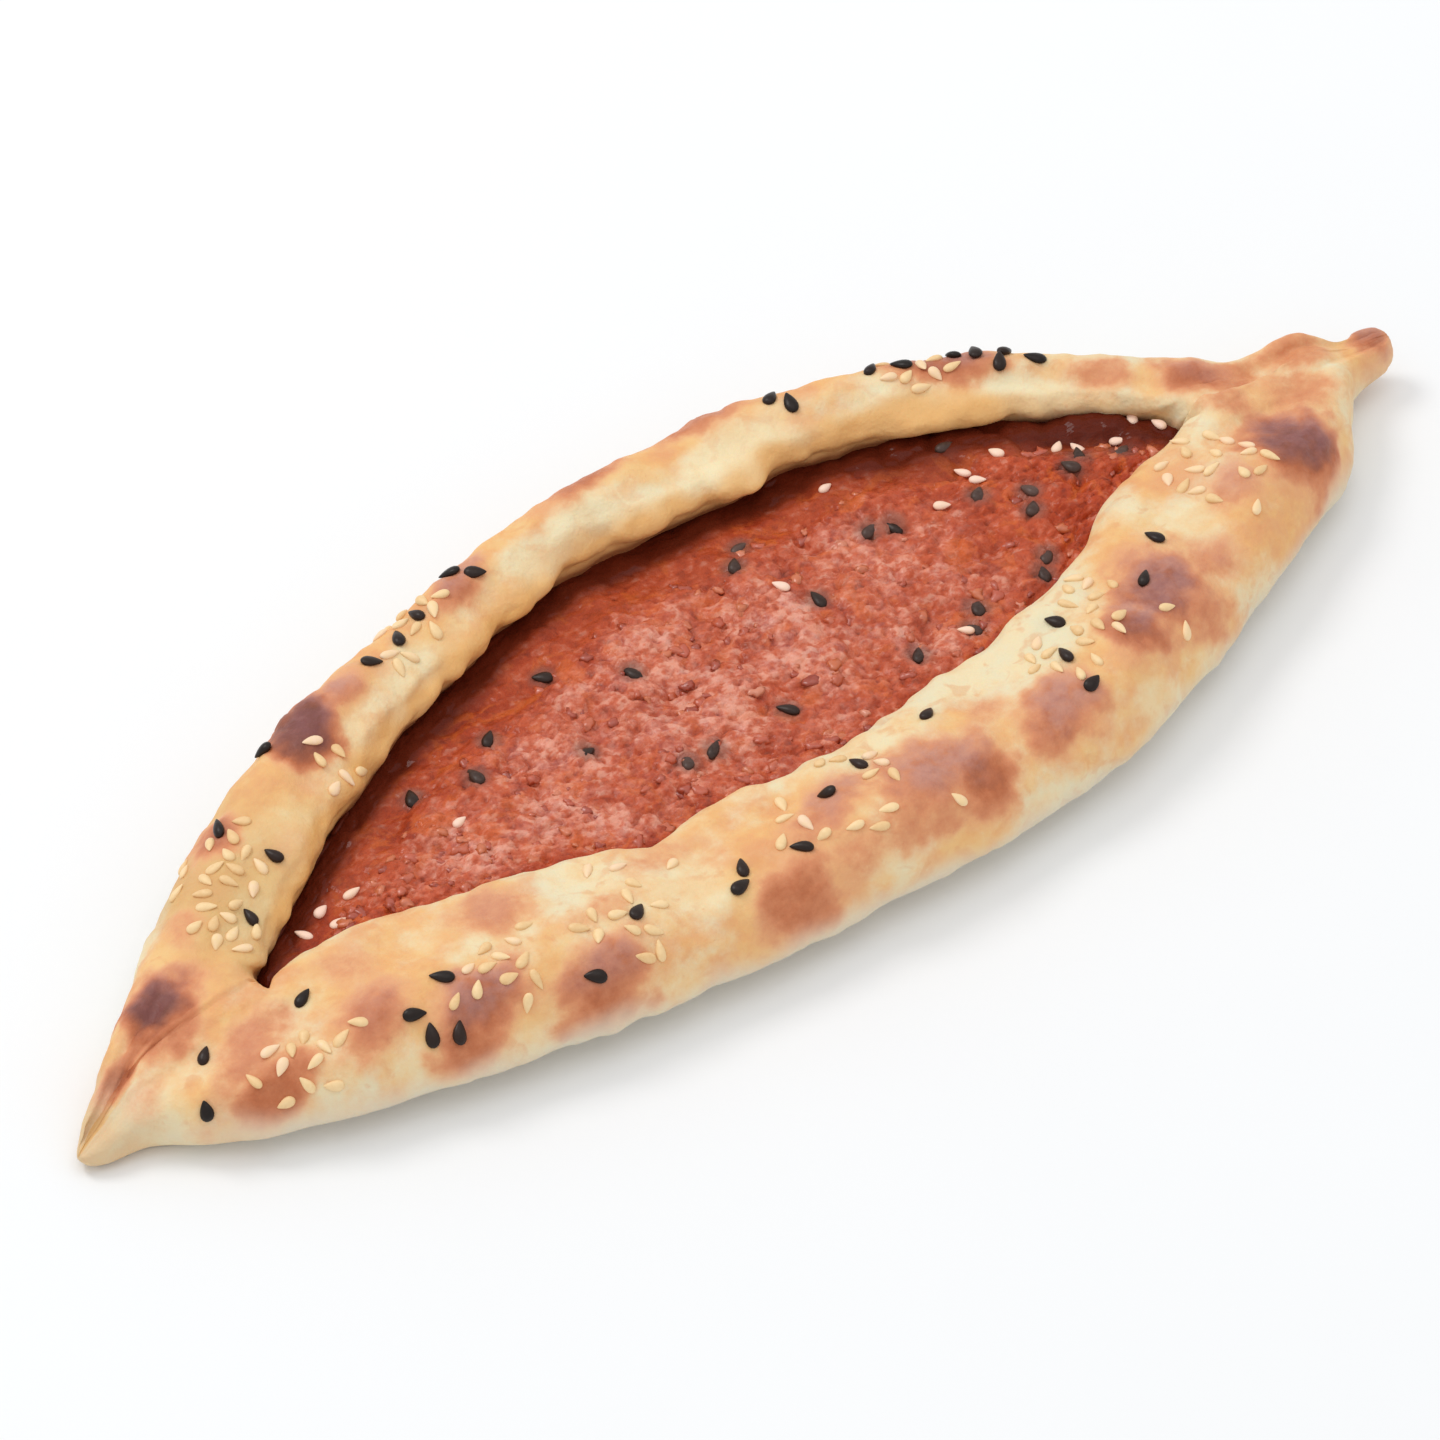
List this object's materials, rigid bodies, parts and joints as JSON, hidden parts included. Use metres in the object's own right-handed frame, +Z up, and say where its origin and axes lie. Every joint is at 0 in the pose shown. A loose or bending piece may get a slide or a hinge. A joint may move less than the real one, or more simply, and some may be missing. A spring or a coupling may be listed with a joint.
{
  "type": "muhammara cheese pie",
  "caption": "Boat-shaped flatbread with a thick browned rim, pinched to a point at both ends, open over a red pepper and cheese filling scattered with seeds.",
  "frame": {"origin": "middle of the underside's bounding box, on the surface that the pie lies on", "axes": "+X from the blunt left tip to the narrow right tip, +Y to the narrow rim, +Z up out of the filling"},
  "size_m": [0.238, 0.088, 0.0171],
  "materials": {
    "crust": "matt baked dough, cream to golden with brown scorch marks",
    "filling": "moist grainy red pepper paste with an oily sheen",
    "sesame": "pale hulled sesame, satin",
    "black_seed": "nearly black seeds, satin"
  },
  "bodies": {
    "root": {"bread": "crust", "filling": "filling"}
  },
  "joints": []
}
